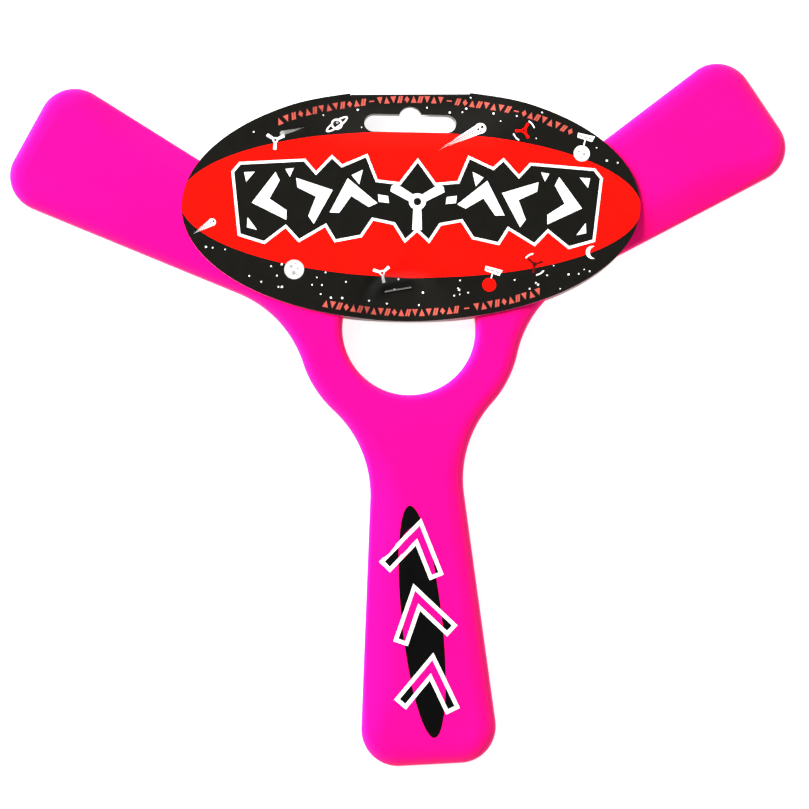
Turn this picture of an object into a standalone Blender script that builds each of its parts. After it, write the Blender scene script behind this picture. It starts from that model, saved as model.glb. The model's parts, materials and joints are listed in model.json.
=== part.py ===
"""A three-blade throwing boomerang in its folded hang card, for Blender 4.5.

Metres, +Z up, lying on its back on z = 0. The hub frame used below has its origin on the axis of the hub
hole, +Y towards the card's fold. One empty carries everything from there to the final frame, whose origin is
the centre of the bounding box's base. A second empty on the hub axis carries the card, which swivels there.

The moulded body has three equal blades. Seen from above it is thrown turning anticlockwise, so each blade
leads with its +v side, which is blunt, and trails with its -v side, which is a long shallow bevel.
"""

import math

import bmesh
import bpy
from mathutils import Matrix, Vector
from mathutils.bvhtree import BVHTree
from mathutils.geometry import delaunay_2d_cdt

# Boomerang outline
BLADES = 3
REACH = 0.1505  # hub axis to blade tip
HUB_RADIUS = 0.0390
HOLE_RADIUS = 0.0233
NECK_FILLET = 0.0400  # hollow between the hub and a blade
TIP_CORNER = 0.0125
HALF_WIDTH_AT_AXIS = 0.01129  # a blade's straight side carried back to the hub axis
TAPER = 0.086  # gain in half width for each metre along the blade
BODY_TURN = math.radians(2.79)  # the boomerang sits this far out of line with its card

# Boomerang section. The upper edge is an elliptic roundover, then a bevel that runs out into the flat top:
# width and height of the roundover, width and rise of the bevel.
THICKNESS = 0.0050
UNDER_ROLL = 0.0006  # rounding of the lower edges
HUB_SECTION = (0.0040, 0.0024, 0.0016, 0.00010)
LEAD_SECTION = (0.0046, 0.0027, 0.0038, 0.00032)
TRAIL_SECTION = (0.0017, 0.0013, 0.0124, 0.00165)
TIP_SECTION = (0.0046, 0.0026, 0.0032, 0.00025)
HOLE_SECTION = (0.0026, 0.0022, 0.0012, 0.00008)
SIDE_FROM, SIDE_OVER = 0.028, 0.040  # along a blade: where its own sections begin, and how gradually
TIP_FROM, TIP_OVER = 0.116, 0.032
UNDER_STEPS, ROUND_STEPS, BEVEL_STEPS = 2, 5, 4

# Card, a folded sheet with an oval leaf on each face of the boomerang
CARD_TURN = math.radians(0.7)  # how far it has swivelled about the hub axis
CARD_THICKNESS = 0.00045
GAP = 0.0003  # between neighbours that touch
CARD_X = 0.00145  # middle of the oval's widest line
CARD_Y = 0.0430
CARD_HALF_WIDTH = 0.0805
CARD_RISE = 0.04275  # oval's half height above its widest line
CARD_DROP = 0.0406  # and below it
CREASE_Y = 0.0839  # outermost line of the fold
CREASE_HALF = 0.0211
EAR_Y = 0.0841  # the tips of the ears at its ends
CREASE_RADIUS = 0.0003
CREASE_REACH = 0.0220  # the leaves draw together over this distance from the crease
PINCH = 0.00265  # how far each leaf leaves its flat level at the crease and at the staple
DIMPLE_RADIUS = 0.0218  # the dimple round the staple stays inside this circle, in the hub hole
DIMPLE_FLAT = 0.0012  # and it is level this close to the staple

# Hang slot through both leaves
SLOT_TURN = math.radians(-1.35)  # it is punched this far out of line with the oval, about the hub axis
SLOT_X = -0.00045
SLOT_Y = 0.07295
SLOT_WIDTH = 0.0325
SLOT_HEIGHT = 0.0067
HUMP_RADIUS = 0.0040
HUMP_RISE = 0.0029

# Staple
STAPLE_CENTRE = Vector((-0.00365, 0.0138))
STAPLE_TURN = math.radians(9.3)
STAPLE_SPAN = 0.0091  # between the centres of its legs
WIRE_RADIUS = 0.00025
WIRE_BEND = 0.0004
CLINCH = 0.0034  # length of each bent-over leg
CLINCH_SAG = 0.0003  # how far its tip hangs below the bend

# Decal on the blade that carries no card
DECAL_THICKNESS = 0.00015
DECAL_STEP = 0.0022  # spacing of its points, so that it follows the blade's curve
DECAL_STATION = 0.1016  # centre, along the blade
DECAL_ASIDE = 0.0006  # and towards the edge that trails
OVAL_LENGTH = 0.0796
OVAL_WIDTH = 0.0138
OVAL_TURN = math.radians(3.35)
CHEVRON_ARM = 0.0168
CHEVRON_STROKE = 0.0052
CHEVRON_SPREAD = math.radians(66)
CHEVRONS = (  # along the decal from its centre towards the hub, tilt
    (0.0237, math.radians(-14)),
    (0.0013, math.radians(11)),
    (-0.0226, math.radians(-10)),
)

# Levels, from the table upwards
BODY_BASE = CARD_THICKNESS + GAP
BODY_TOP = BODY_BASE + THICKNESS
FRONT_BASE = BODY_TOP + GAP
PACK_TOP = FRONT_BASE + CARD_THICKNESS
MIDDLE = PACK_TOP / 2
STAPLE_GRIP = FRONT_BASE - PINCH + CARD_THICKNESS + GAP / 2 - MIDDLE
CREASE_AXIS_Y = CREASE_Y - CREASE_RADIUS
LEAF_END_Y = CREASE_AXIS_Y - CREASE_RADIUS - GAP


def clear_scene():
    for obj in list(bpy.data.objects):
        bpy.data.objects.remove(obj)


def smooth(t):
    t = min(1.0, max(0.0, t))
    return t * t * (3 - 2 * t)


def arc(centre, radius, start, end, steps):
    """Points on an arc with their outward unit vectors, ends included."""
    points = []
    for i in range(steps + 1):
        a = start + (end - start) * i / steps
        out = Vector((math.cos(a), math.sin(a)))
        points.append((centre + radius * out, out))
    return points


def half_blade():
    """The +v side of one blade, from halfway along the hub's edge to the middle of the tip.

    Each item is a point and its outward unit normal, in the blade's own frame: u along it, v to its left.
    """
    slant = math.hypot(1, TAPER)
    side_normal = Vector((-TAPER, 1)) / slant
    # Centre of the neck fillet: tangent to the side from outside, and to the hub's edge.
    lift = HALF_WIDTH_AT_AXIS + NECK_FILLET * slant
    far = HUB_RADIUS + NECK_FILLET
    b = TAPER * lift
    u = (-b + math.sqrt(b * b - slant**2 * (lift**2 - far**2))) / slant**2
    fillet = Vector((u, lift + TAPER * u))
    hub_angle = math.atan2(fillet.y, fillet.x)
    # Centre of the tip corner: tangent to the side and to the tip line.
    u = REACH - TIP_CORNER
    corner = Vector((u, HALF_WIDTH_AT_AXIS + TAPER * u - TIP_CORNER * slant))
    side_angle = math.atan2(side_normal.y, side_normal.x)

    points = arc(Vector((0, 0)), HUB_RADIUS, math.pi / BLADES, hub_angle, 4)
    hollow = arc(fillet, NECK_FILLET, math.pi + hub_angle, math.pi + side_angle, 10)
    points += [(p, -out) for p, out in hollow[1:]]
    start, end = hollow[-1][0], corner + TIP_CORNER * side_normal
    straight = 6
    for i in range(1, straight):
        points.append((start.lerp(end, i / straight), side_normal))
    points += arc(corner, TIP_CORNER, side_angle, 0, 9)
    points.append((Vector((REACH, 0)), Vector((1, 0))))
    return points


def section_at(u, leading):
    """The edge's section at a distance u along a blade: the hub's, then the side's, then the tip's."""
    side = LEAD_SECTION if leading else TRAIL_SECTION
    to_side, to_tip = smooth((u - SIDE_FROM) / SIDE_OVER), smooth((u - TIP_FROM) / TIP_OVER)
    values = []
    for hub, middle, tip in zip(HUB_SECTION, side, TIP_SECTION):
        at_side = hub + (middle - hub) * to_side
        values.append(at_side + (tip - at_side) * to_tip)
    return values


def body_edge():
    """The whole outline, anticlockwise: point, outward normal and section for each."""
    half = half_blade()
    blade = [(Vector((p.x, -p.y)), Vector((n.x, -n.y)), section_at(p.x, False)) for p, n in half]
    blade += [(p, n, section_at(p.x, True)) for p, n in reversed(half[1:-1])]
    edge = []
    for k in range(BLADES):
        turn = Matrix.Rotation(BODY_TURN - math.pi / 2 + math.tau * k / BLADES, 2)
        edge += [(turn @ p, turn @ n, section) for p, n, section in blade]
    return edge


def hole_edge():
    """The rim of the hub hole, whose outward normal points at the hub axis."""
    steps = 72
    rim = arc(Vector((0, 0)), HOLE_RADIUS, 0, math.tau * (1 - 1 / steps), steps - 1)
    return [(p, -out, HOLE_SECTION) for p, out in rim]


def profile(section):
    """Inset and height of the edge, from the flat underside up to the flat top."""
    width, height, bevel, rise = section
    slope = rise / bevel * math.pi / 2  # of the bevel where the roundover meets it
    last = math.atan2(height, width * slope)
    wall = THICKNESS - height * math.sin(last) - rise
    points = []
    for i in range(UNDER_STEPS + 1):
        a = math.pi / 2 * i / UNDER_STEPS
        points.append((UNDER_ROLL * (1 - math.sin(a)), UNDER_ROLL * (1 - math.cos(a))))
    for i in range(ROUND_STEPS + 1):
        a = last * i / ROUND_STEPS
        points.append((width * (1 - math.cos(a)), wall + height * math.sin(a)))
    inner, level = points[-1]
    for i in range(1, BEVEL_STEPS + 1):
        share = i / BEVEL_STEPS
        points.append((inner + bevel * share, level + rise * math.sin(share * math.pi / 2)))
    return points


def edge_rings(bm, edge):
    """Rings of vertices from the flat underside, round the edge wall, to the flat upper face."""
    profiles = [profile(section) for *_, section in edge]
    rings = []
    for level in range(len(profiles[0])):
        ring = []
        for (point, normal, _), steps in zip(edge, profiles):
            inset, height = steps[level]
            at = point - normal * inset
            ring.append(bm.verts.new((at.x, at.y, BODY_BASE + height)))
        rings.append(ring)
    return rings


def loop_edges(bm, ring):
    return [bm.edges.get((a, b)) for a, b in zip(ring, ring[1:] + ring[:1])]


def make_body(material, parent):
    bm = bmesh.new()
    outer, inner = edge_rings(bm, body_edge()), edge_rings(bm, hole_edge())
    for rings in (outer, inner):
        for low, high in zip(rings, rings[1:]):
            for i in range(len(low)):
                j = (i + 1) % len(low)
                bm.faces.new((low[i], low[j], high[j], high[i]))
    for level in (0, -1):
        edges = loop_edges(bm, outer[level]) + loop_edges(bm, inner[level])
        bmesh.ops.triangle_fill(bm, edges=edges, use_beauty=True)
    return finish("boomerang_body", bm, material, parent)


def finish(name, bm, material, parent, sharp=math.radians(35)):
    """Closes off a bmesh as an object of the assembly."""
    bmesh.ops.recalc_face_normals(bm, faces=bm.faces)
    mesh = bpy.data.meshes.new(name)
    bm.to_mesh(mesh)
    bm.free()
    mesh.shade_smooth()
    mesh.set_sharp_from_angle(angle=sharp)
    return place(name, mesh, material, parent)


def place(name, data, material, parent):
    obj = bpy.data.objects.new(name, data)
    bpy.context.scene.collection.objects.link(obj)
    data.materials.append(material)
    obj.parent = parent
    return obj


def inside(point, polygon):
    """True if the point is inside the closed polygon."""
    hit = False
    for a, b in zip(polygon, polygon[1:] + polygon[:1]):
        if (a.y > point.y) != (b.y > point.y):
            if point.x < a.x + (point.y - a.y) * (b.x - a.x) / (b.y - a.y):
                hit = not hit
    return hit


def sheet(outlines, holes, extra, under, thickness):
    """A thin closed sheet over the outlines less the holes, with its underside at under(point)."""
    loops = outlines + holes
    points, edges = [], []
    for loop in loops:
        first = len(points)
        points += loop
        edges += [(first + i, first + (i + 1) % len(loop)) for i in range(len(loop))]
    points += [p for p in extra if any(inside(p, o) for o in outlines)]
    made, _, faces, *_ = delaunay_2d_cdt(points, edges, [], 0, 1e-7)
    bm = bmesh.new()
    low = [bm.verts.new((p.x, p.y, under(p))) for p in made]
    high = [bm.verts.new((v.co.x, v.co.y, v.co.z + thickness)) for v in low]
    for face in faces:
        middle = sum((made[i] for i in face), Vector((0, 0))) / len(face)
        solid = any(inside(middle, o) for o in outlines)
        if solid and not any(inside(middle, h) for h in holes):
            bm.faces.new([high[i] for i in face])
            bm.faces.new([low[i] for i in reversed(face)])
    match = dict(zip(low, high))
    rim = [e for e in bm.edges if len(e.link_faces) == 1 and e.verts[0] in match]
    for edge in rim:
        a, b = edge.verts
        bm.faces.new((a, b, match[b], match[a]))
    loose = [v for v in bm.verts if not v.link_faces]
    bmesh.ops.delete(bm, geom=loose, context="VERTS")
    return bm


def leaf_outline():
    """One oval leaf, anticlockwise, with a straight recess for the fold between two short ears."""
    steps = 104
    top = math.asin((EAR_Y - CARD_Y) / CARD_RISE)
    points = []
    for i in range(steps + 1):
        a = math.pi - top + (math.pi + 2 * top) * i / steps
        rise = CARD_RISE if math.sin(a) > 0 else CARD_DROP
        points.append(Vector((CARD_X + CARD_HALF_WIDTH * math.cos(a), CARD_Y + rise * math.sin(a))))
    recess = CREASE_HALF + GAP
    for side, levels in ((1, (EAR_Y, LEAF_END_Y)), (-1, (LEAF_END_Y, EAR_Y))):
        points += [Vector((CARD_X + side * recess, y)) for y in levels]
    return points


def slot_outline():
    """The hang slot: a round-ended bar with a hump in the middle of its upper side."""
    steps = 10
    turn = Matrix.Rotation(SLOT_TURN, 2)
    end = SLOT_HEIGHT / 2
    centre = Vector((SLOT_X, SLOT_Y))
    reach = Vector((SLOT_WIDTH / 2 - end, 0))
    hump = centre + Vector((0, end + HUMP_RISE - HUMP_RADIUS))
    dip = math.asin((HUMP_RADIUS - HUMP_RISE) / HUMP_RADIUS)
    points = arc(centre + reach, end, -math.pi / 2, math.pi / 2, steps)
    points += arc(hump, HUMP_RADIUS, dip, math.pi - dip, steps)
    points += arc(centre - reach, end, math.pi / 2, 3 * math.pi / 2, steps)
    return [turn @ p for p, _ in points]


def staple_ends():
    along = Vector((math.cos(STAPLE_TURN), math.sin(STAPLE_TURN)))
    return [STAPLE_CENTRE + along * side * STAPLE_SPAN / 2 for side in (-1, 1)]


def pin_holes():
    sides = 8
    turn = math.tau * (1 - 1 / sides)
    return [[p for p, _ in arc(end, WIRE_RADIUS + GAP, 0, turn, sides - 1)] for end in staple_ends()]


def to_segment(point, a, b):
    """Distance from a point to the segment from a to b."""
    along = (b - a).normalized()
    t = min((b - a).length, max(0.0, (point - a).dot(along)))
    return (point - a - along * t).length


def pinched(point):
    """How far a leaf has left its flat level: it draws in towards the crease and towards the staple."""
    a = Vector((CARD_X - CREASE_HALF, CREASE_Y))
    b = Vector((CARD_X + CREASE_HALF, CREASE_Y))
    fold = 1 - smooth(to_segment(point, a, b) / CREASE_REACH)
    room = max(0.0, DIMPLE_RADIUS - point.length)
    away = max(0.0, to_segment(point, *staple_ends()) - DIMPLE_FLAT)
    dimple = smooth(room / (room + away)) if room > 0 else 0.0
    return PINCH * (fold + dimple)


def to_outlines(point, loops):
    """Distance from a point to the nearest of some closed outlines."""
    return min(to_segment(point, a, b) for loop in loops for a, b in zip(loop, loop[1:] + loop[:1]))


def card_grid():
    """Points inside a leaf, close together where it bends and far apart where it is flat."""
    fine, coarse, level, clear = 0.0024, 0.0120, 1e-6, 0.0006
    points = []
    for step, bent in ((fine, True), (coarse, False)):
        rows = int(2 * CARD_HALF_WIDTH / step)
        for i in range(rows):
            for j in range(rows):
                p = Vector((CARD_X + (i - rows / 2) * step, (j + 0.5) * step))
                if (pinched(p) > level) == bent:
                    points.append(p)
    a, b = staple_ends()
    across = Vector((a.y - b.y, b.x - a.x)).normalized() * DIMPLE_FLAT
    parts = 5
    points += [a.lerp(b, i / parts) + across * side for i in range(parts + 1) for side in (-1, 0, 1)]
    rim = leaf_outline()
    loops = [rim, slot_outline(), *pin_holes()]
    return [p for p in points if inside(p, rim) and to_outlines(p, loops) > clear]


def make_leaves(material, parent):
    holes = [slot_outline(), *pin_holes()]
    grid = card_grid()
    front = sheet([leaf_outline()], holes, grid, lambda p: FRONT_BASE - pinched(p), CARD_THICKNESS)
    back = sheet([leaf_outline()], holes, grid, pinched, CARD_THICKNESS)
    finish("card_front_leaf", front, material, parent)
    finish("card_back_leaf", back, material, parent)


def make_fold(material, parent):
    """The crease that joins the leaves, a thin bead along the fold."""
    bm = bmesh.new()
    bmesh.ops.create_cone(
        bm,
        cap_ends=True,
        segments=12,
        radius1=CREASE_RADIUS,
        radius2=CREASE_RADIUS,
        depth=2 * CREASE_HALF,
        matrix=Matrix.Rotation(math.pi / 2, 4, "Y"),
    )
    bead = finish("card_fold", bm, material, parent)
    bead.location = (CARD_X, CREASE_AXIS_Y, MIDDLE)
    return bead


def staple_path():
    """Centre line of the wire, x along the crown and z up, from one clinched tip to the other."""
    crown = MIDDLE + STAPLE_GRIP + WIRE_RADIUS
    clinch = MIDDLE - STAPLE_GRIP - WIRE_RADIUS
    leg = STAPLE_SPAN / 2
    half = [Vector((leg - CLINCH, clinch - CLINCH_SAG))]
    steps = 4
    bends = arc(Vector((leg - WIRE_BEND, clinch + WIRE_BEND)), WIRE_BEND, -math.pi / 2, 0, steps)
    bends += arc(Vector((leg - WIRE_BEND, crown - WIRE_BEND)), WIRE_BEND, 0, math.pi / 2, steps)
    half += [p for p, _ in bends]
    return half + [Vector((-p.x, p.y)) for p in reversed(half)]


def make_staple(material, parent):
    curve = bpy.data.curves.new("staple", "CURVE")
    curve.dimensions = "3D"
    curve.bevel_depth = WIRE_RADIUS
    curve.bevel_resolution = 2
    curve.use_fill_caps = True
    path = staple_path()
    spline = curve.splines.new("POLY")
    spline.points.add(len(path) - 1)
    for point, at in zip(spline.points, path):
        point.co = (at.x, 0, at.y, 1)
    staple = place("staple", curve, material, parent)
    staple.location = (STAPLE_CENTRE.x, STAPLE_CENTRE.y, 0)
    staple.rotation_euler.z = STAPLE_TURN
    return staple


def chevron(centre, tilt):
    """A bent bar with square ends and a sharp elbow, anticlockwise. Its elbow points along +u."""
    half = CHEVRON_SPREAD / 2
    elbow = CHEVRON_STROKE / 2 / math.sin(half)
    arms = []
    for side in (1, -1):
        along = Vector((-math.cos(half), side * math.sin(half)))
        across = Vector((math.sin(half), side * math.cos(half))) * CHEVRON_STROKE / 2
        arms.append((along * CHEVRON_ARM + across, along * CHEVRON_ARM - across))
    points = [Vector((elbow, 0)), arms[0][0], arms[0][1], Vector((-elbow, 0)), arms[1][1], arms[1][0]]
    middle = Vector((CHEVRON_ARM * math.cos(half) / 2, 0))
    return [Matrix.Rotation(tilt, 2) @ (p + middle) + centre for p in points]


def stepped(loop, longest):
    """The same closed outline with its long sides divided up."""
    points = []
    for a, b in zip(loop, loop[1:] + loop[:1]):
        parts = math.ceil((b - a).length / longest)
        points += [a.lerp(b, i / parts) for i in range(parts)]
    return points


def decal_outlines():
    """The decal's oval and chevrons in the hub frame. In its own frame +u runs towards the hub."""
    turn = Matrix.Rotation(BODY_TURN + math.pi / 2, 2)
    centre = turn @ Vector((-DECAL_STATION, DECAL_ASIDE))
    tilt = Matrix.Rotation(OVAL_TURN, 2)
    oval = []
    steps = 48
    for i in range(steps):
        a = math.tau * i / steps
        p = Vector((math.cos(a) * OVAL_LENGTH / 2, math.sin(a) * OVAL_WIDTH / 2))
        oval.append(centre + turn @ (tilt @ p))
    bars = []
    for along, lean in CHEVRONS:
        bar = chevron(tilt @ Vector((along, 0)), lean)
        bars.append([centre + turn @ p for p in bar])
    return [oval, *bars]


def make_decal(body, material, parent):
    """A vinyl sticker cut to the outline of its print, lying on the blade's upper surface."""
    graph = bpy.context.evaluated_depsgraph_get()
    surface = BVHTree.FromObject(body, graph)

    def under(p):
        hit, *_ = surface.ray_cast(Vector((p.x, p.y, 1)), Vector((0, 0, -1)))
        return hit.z + GAP

    outlines = [stepped(loop, DECAL_STEP) for loop in decal_outlines()]
    centre = sum(outlines[0], Vector((0, 0))) / len(outlines[0])
    count = int(OVAL_LENGTH / DECAL_STEP)
    span = range(-count // 2, count // 2 + 1)
    grid = [centre + Vector((i, j)) * DECAL_STEP for i in span for j in span]
    kept = [p for p in grid if to_outlines(p, outlines) > DECAL_STEP / 4]
    bm = sheet(outlines, [], kept, under, DECAL_THICKNESS)
    return finish("blade_decal", bm, material, parent)


def plastic(name, colour, roughness, metallic=0.0):
    material = bpy.data.materials.new(name)
    material.use_nodes = True
    shader = material.node_tree.nodes["Principled BSDF"]
    shader.inputs["Base Color"].default_value = (*colour, 1)
    shader.inputs["Roughness"].default_value = roughness
    shader.inputs["Metallic"].default_value = metallic
    return material


def base_centre():
    """Centre of the bounding box in plan. The blades reach past the card on every side."""
    points = [p for p, *_ in body_edge()]
    middle = [(min(p[k] for p in points) + max(p[k] for p in points)) / 2 for k in (0, 1)]
    return Vector((middle[0], middle[1], 0))


def pivot(name, parent=None):
    empty = bpy.data.objects.new(name, None)
    bpy.context.scene.collection.objects.link(empty)
    empty.parent = parent
    return empty


def main():
    clear_scene()
    assembly = pivot("assembly")
    swivel = pivot("card_swivel", assembly)
    swivel.rotation_euler.z = CARD_TURN
    pink = plastic("pink_plastic", (1.0, 0.007, 0.35), 0.35)
    card = plastic("printed_card", (0.03, 0.03, 0.028), 0.3)
    wire = plastic("staple_wire", (0.7, 0.7, 0.68), 0.3, metallic=1.0)
    film = plastic("decal_vinyl", (0.01, 0.01, 0.01), 0.3)
    body = make_body(pink, assembly)
    make_leaves(card, swivel)
    make_fold(card, swivel)
    make_staple(wire, swivel)
    bpy.context.view_layer.update()
    make_decal(body, film, assembly)
    assembly.location = -base_centre()


main()
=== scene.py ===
import json
import math
import random

import bmesh
import bpy
import numpy as np
from mathutils import Matrix, Vector
from mathutils.bvhtree import BVHTree
from mathutils.geometry import delaunay_2d_cdt


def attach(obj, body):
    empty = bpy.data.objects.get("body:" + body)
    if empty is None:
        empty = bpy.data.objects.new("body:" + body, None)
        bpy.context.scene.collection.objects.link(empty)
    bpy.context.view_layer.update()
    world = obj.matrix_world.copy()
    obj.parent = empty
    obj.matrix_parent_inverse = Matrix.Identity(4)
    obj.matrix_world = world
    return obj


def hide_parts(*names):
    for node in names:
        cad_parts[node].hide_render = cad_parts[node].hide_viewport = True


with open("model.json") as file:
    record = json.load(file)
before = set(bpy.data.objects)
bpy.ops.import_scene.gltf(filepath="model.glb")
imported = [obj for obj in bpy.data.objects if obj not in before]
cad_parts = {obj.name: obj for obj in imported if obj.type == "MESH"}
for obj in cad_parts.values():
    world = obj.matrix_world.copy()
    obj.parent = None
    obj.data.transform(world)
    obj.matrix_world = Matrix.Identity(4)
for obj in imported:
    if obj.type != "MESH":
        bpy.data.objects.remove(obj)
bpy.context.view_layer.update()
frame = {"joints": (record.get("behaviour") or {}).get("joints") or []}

# All shapes below are worked out in the hub frame: millimetres, origin on the axis of the hub hole, +Y
# towards the card's fold. to_metres() carries a point from there into the row frame.
MM = 0.001
HUB = Vector(frame["joints"][0]["pos_m"])

# The boomerang, as the CAD has it
BLADES = 3
REACH = 150.5  # from the hub's axis to a blade's tip
HUB_RADIUS = 39.0
HOLE_RADIUS = 23.3
NECK_FILLET = 40.0  # radius of the hollow between the hub and a blade's side
TIP_CORNER = 12.5
HALF_WIDTH_AT_AXIS = 11.29  # half a blade's width, if its sides ran on to the hub's axis
TAPER = 0.086  # how much that half width grows for each millimetre along the blade
BODY_TURN = math.radians(2.79)  # from a blade that would point straight at -Y
THICKNESS = 5.0
UNDER_ROLL = 0.6  # radius of the edge round the flat underside
SIDE_FROM, SIDE_OVER = 28.0, 40.0  # where along a blade the hub's section turns into the side's, over how far
TIP_FROM, TIP_OVER = 116.0, 32.0  # and the side's section into the tip's

# The edge of the body, seen in section: an elliptic roundover, then a bevel that runs out into the flat top.
# Each is the roundover's width and height, and the bevel's width and fall.
HUB_SECTION = (4.0, 2.4, 1.6, 0.10)
LEAD_SECTION = (4.6, 2.7, 3.8, 0.32)
TRAIL_SECTION = (1.7, 1.3, 12.4, 1.65)
TIP_SECTION = (4.6, 2.6, 3.2, 0.25)
HOLE_SECTION = (2.6, 2.2, 1.2, 0.08)

# The card. It has its own frame: the hub frame, swivelled about the hub axis.
CARD_TURN = math.radians(0.7)
BOARD = 0.45  # thickness of the board
GAP = 0.3  # air between a leaf and the plastic
CARD_X = 1.45  # middle of the oval's widest line
CARD_Y = 43.0
CARD_HALF_WIDTH = 80.5
CARD_RISE = 42.75  # the oval's height above its widest line
CARD_DROP = 40.6  # and its depth below it
CREASE_Y = 83.9  # outside of the fold
CREASE_HALF = 21.1
EAR_Y = 84.1  # top of the short ears at the ends of the fold
CREASE_REACH = 22.0  # the leaves draw together over this distance from the fold
PINCH = 2.65  # how far each leaf draws in
DIMPLE_RADIUS = 21.8  # the dimple round the staple stays inside this circle, in the hub hole
DIMPLE_FLAT = 1.2  # it is flat up to this distance from the staple
PRESS_TURN = math.radians(-1.35)  # the slot and the print sit this far out of line with the oval
SLOT_X = -0.45
SLOT_Y = 72.95
SLOT_WIDTH = 32.5
SLOT_HEIGHT = 6.7
HUMP_RADIUS = 4.0
HUMP_RISE = 2.9

# The staple
STAPLE_CENTRE = Vector((-3.65, 13.8))
STAPLE_TURN = math.radians(9.3)
STAPLE_SPAN = 9.1
WIRE_WIDTH = 0.5
WIRE_THICKNESS = 0.4
PIN_PLAY = 0.05  # between a leg and the edge of its hole

# The blade's print
DECAL_STATION = 101.6  # centre of the oval, from the hub's axis
DECAL_ASIDE = 0.6  # towards the edge that trails
OVAL_LENGTH = 79.6
OVAL_WIDTH = 13.8
OVAL_TURN = math.radians(3.35)
BAR_LINE = 1.35  # width of the white line round each bar
BARS = ((23.7, -14), (1.3, 11), (-22.6, -10))  # place along the oval, from its centre to the hub, and lean
FILM_UNDER, FILM_TOP = 0.01, 0.05  # levels of the film's faces above the plastic

# Levels above the table
BODY_BASE = BOARD + GAP
BODY_TOP = BODY_BASE + THICKNESS
FRONT_BASE = BODY_TOP + GAP
MIDDLE = (FRONT_BASE + BOARD) / 2

# Meshes
SHARP = math.radians(40)  # an edge that turns by more stays sharp
WIRE_SHARP = math.radians(50)
WELD = 2e-6  # in metres: the card's leaves and its fold are welded where they meet
FLOOR_DROP = 0.0002  # in metres: the floor lies this far under the pack, so that no faces coincide


def to_metres(x, y, z):
    return Vector((x * MM + HUB.x, y * MM + HUB.y, z * MM))


def smooth(t):
    t = min(1.0, max(0.0, t))
    return t * t * (3 - 2 * t)


def arc(centre, radius, start, end, steps):
    """Points on an arc with their outward unit vectors, ends included."""
    points = []
    for i in range(steps + 1):
        a = start + (end - start) * i / steps
        out = Vector((math.cos(a), math.sin(a)))
        points.append((centre + radius * out, out))
    return points


def ring(centre, radius, steps=24):
    return [p for p, _ in arc(Vector(centre), radius, 0, math.tau * (1 - 1 / steps), steps - 1)]


def turned(points, angle, centre=(0, 0)):
    """The points turned about the origin, then shifted to the centre."""
    turn, shift = Matrix.Rotation(angle, 2), Vector(centre)
    return [turn @ Vector(p) + shift for p in points]


def to_segment(point, a, b):
    """Distance from a point to the segment from a to b."""
    along = b - a
    t = min(1.0, max(0.0, (point - a).dot(along) / along.length_squared))
    return (point - a - along * t).length


def inside(x, y, polygon):
    """Mask of the points, given as arrays, that lie inside the closed polygon."""
    mask = np.zeros(len(x), bool)
    for a, b in zip(polygon, polygon[1:] + polygon[:1]):
        if a[1] != b[1]:
            between = (a[1] > y) != (b[1] > y)
            mask ^= between & (x < a[0] + (y - a[1]) * (b[0] - a[0]) / (b[1] - a[1]))
    return mask


# --------------------------------------------------------------------------------------------------
# Materials


class Nodes:
    """A short way to build a node material: its Principled shader, and new nodes by type."""

    def __init__(self, name):
        self.material = bpy.data.materials.new(name)
        self.material.use_nodes = True
        self.tree = self.material.node_tree
        self.shader = self.tree.nodes["Principled BSDF"]

    def set(self, **values):
        for key, value in values.items():
            self.shader.inputs[key.replace("_", " ")].default_value = value
        return self

    def add(self, kind, **values):
        node = self.tree.nodes.new(kind)
        for key, value in values.items():
            if hasattr(node, key):
                setattr(node, key, value)
            else:
                node.inputs[key.replace("_", " ")].default_value = value
        return node

    def link(self, source, target):
        self.tree.links.new(source, target)

    def place(self):
        return self.add("ShaderNodeTexCoord").outputs["Object"]

    def noise(self, scale, detail=3.0, roughness=0.5, vector=None):
        node = self.add("ShaderNodeTexNoise", Scale=scale, Detail=detail, Roughness=roughness)
        self.link(vector or self.place(), node.inputs["Vector"])
        return node.outputs["Fac"]

    def mapped(self, value, low, high, to_low=0.0, to_high=1.0):
        node = self.add("ShaderNodeMapRange")
        self.link(value, node.inputs["Value"])
        for key, number in zip(("From Min", "From Max", "To Min", "To Max"), (low, high, to_low, to_high)):
            node.inputs[key].default_value = number
        return node.outputs["Result"]

    def mix(self, factor, first, second):
        node = self.add("ShaderNodeMix", data_type="RGBA")
        self.link(factor, node.inputs["Factor"])
        for socket, value in zip((node.inputs[6], node.inputs[7]), (first, second)):
            if isinstance(value, tuple):
                socket.default_value = (*value, 1)
            else:
                self.link(value, socket)
        return node.outputs[2]

    def colour(self, value):
        self.link(value, self.shader.inputs["Base Color"])

    def roughness(self, value):
        self.link(value, self.shader.inputs["Roughness"])

    def bump(self, *heights):
        """Bumps stacked on each other, each a height socket, its depth in metres and its strength."""
        normal = None
        for height, depth, strength in heights:
            node = self.add("ShaderNodeBump", Strength=strength, Distance=depth)
            self.link(height, node.inputs["Height"])
            if normal is not None:
                self.link(normal, node.inputs["Normal"])
            normal = node.outputs["Normal"]
        self.link(normal, self.shader.inputs["Normal"])


def moulded_pink(name, base, deep):
    """Fluorescent plastic with a fine spark-eroded texture and faint clouding from its pigment."""
    m = Nodes(name).set(IOR=1.49, Specular_IOR_Level=0.16)
    cloud = m.mapped(m.noise(28.0, 4.0, 0.6), 0.35, 0.7)
    m.colour(m.mix(cloud, base, deep))
    m.roughness(m.mapped(m.noise(900.0, 2.0), 0.3, 0.7, 0.30, 0.38))
    m.bump((m.noise(1500.0, 3.0, 0.6), 0.00004, 0.35), (m.noise(45.0, 2.0), 0.0002, 0.25))
    return m.material


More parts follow.
